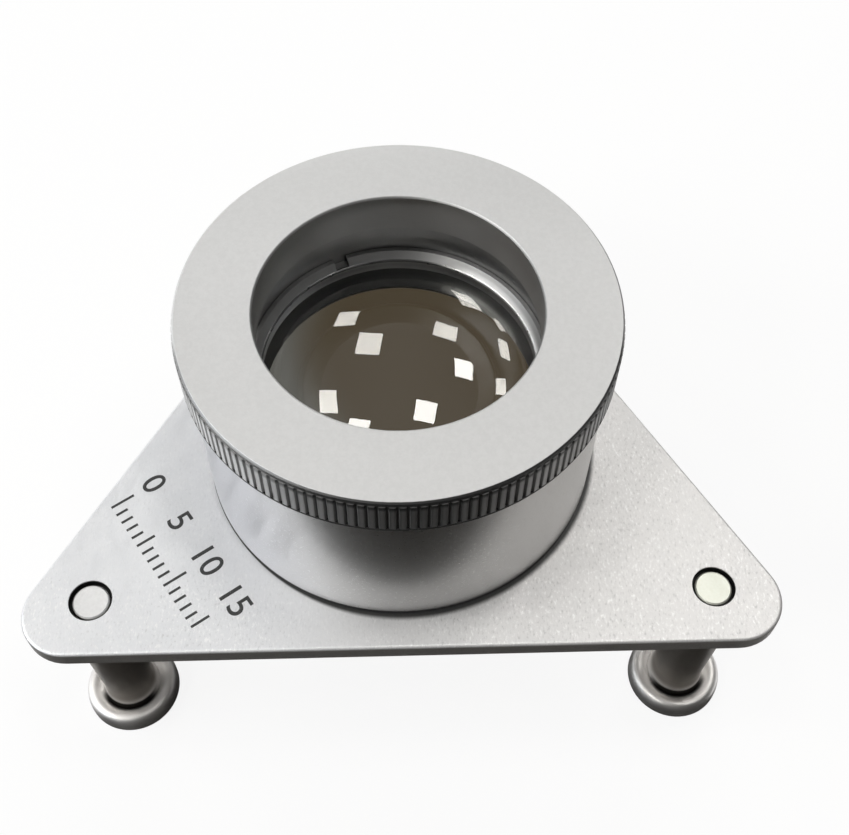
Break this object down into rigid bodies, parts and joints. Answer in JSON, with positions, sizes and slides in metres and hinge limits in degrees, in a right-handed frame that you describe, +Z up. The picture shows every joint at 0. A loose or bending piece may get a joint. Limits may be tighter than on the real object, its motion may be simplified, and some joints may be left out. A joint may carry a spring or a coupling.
{
  "type": "tripod loupe",
  "caption": "Triplet magnifier in a plain turned barrel with a straight-knurled eye cap, standing on a triangular plate with turned, flare-footed legs.",
  "frame": {"origin": "on the optical axis, in the plane that the soles of the feet stand on", "axes": "+Z up the optical axis towards the eye; -Y towards the straight front edge of the plate, so that the rear leg stands on +Y"},
  "size_m": [0.0692, 0.0611, 0.0434],
  "materials": {
    "plate": "fine-blasted, clear anodised",
    "turned_aluminium": "satin turned, clear anodised",
    "cap_aluminium": "matte faced, clear anodised",
    "cell_anodised": "satin, dark anodised",
    "ring_anodised": "satin, dark anodised, bright bevel",
    "flint_glass": "polished, coated",
    "crown_glass": "polished",
    "leg_metal": "turned and polished",
    "screw_steel": "zinc plated"
  },
  "bodies": {
    "root": {"base_plate": "plate", "barrel": "turned_aluminium", "eye_cap": "cap_aluminium", "lens_cell": "cell_anodised", "retaining_ring": "ring_anodised", "upper_lens": "flint_glass", "middle_lens": "crown_glass", "lower_lens": "flint_glass", "leg_front_left": "leg_metal", "leg_front_right": "leg_metal", "leg_rear": "leg_metal", "barrel_screw_1": "screw_steel", "barrel_screw_2": "screw_steel", "barrel_screw_3": "screw_steel"}
  },
  "joints": []
}
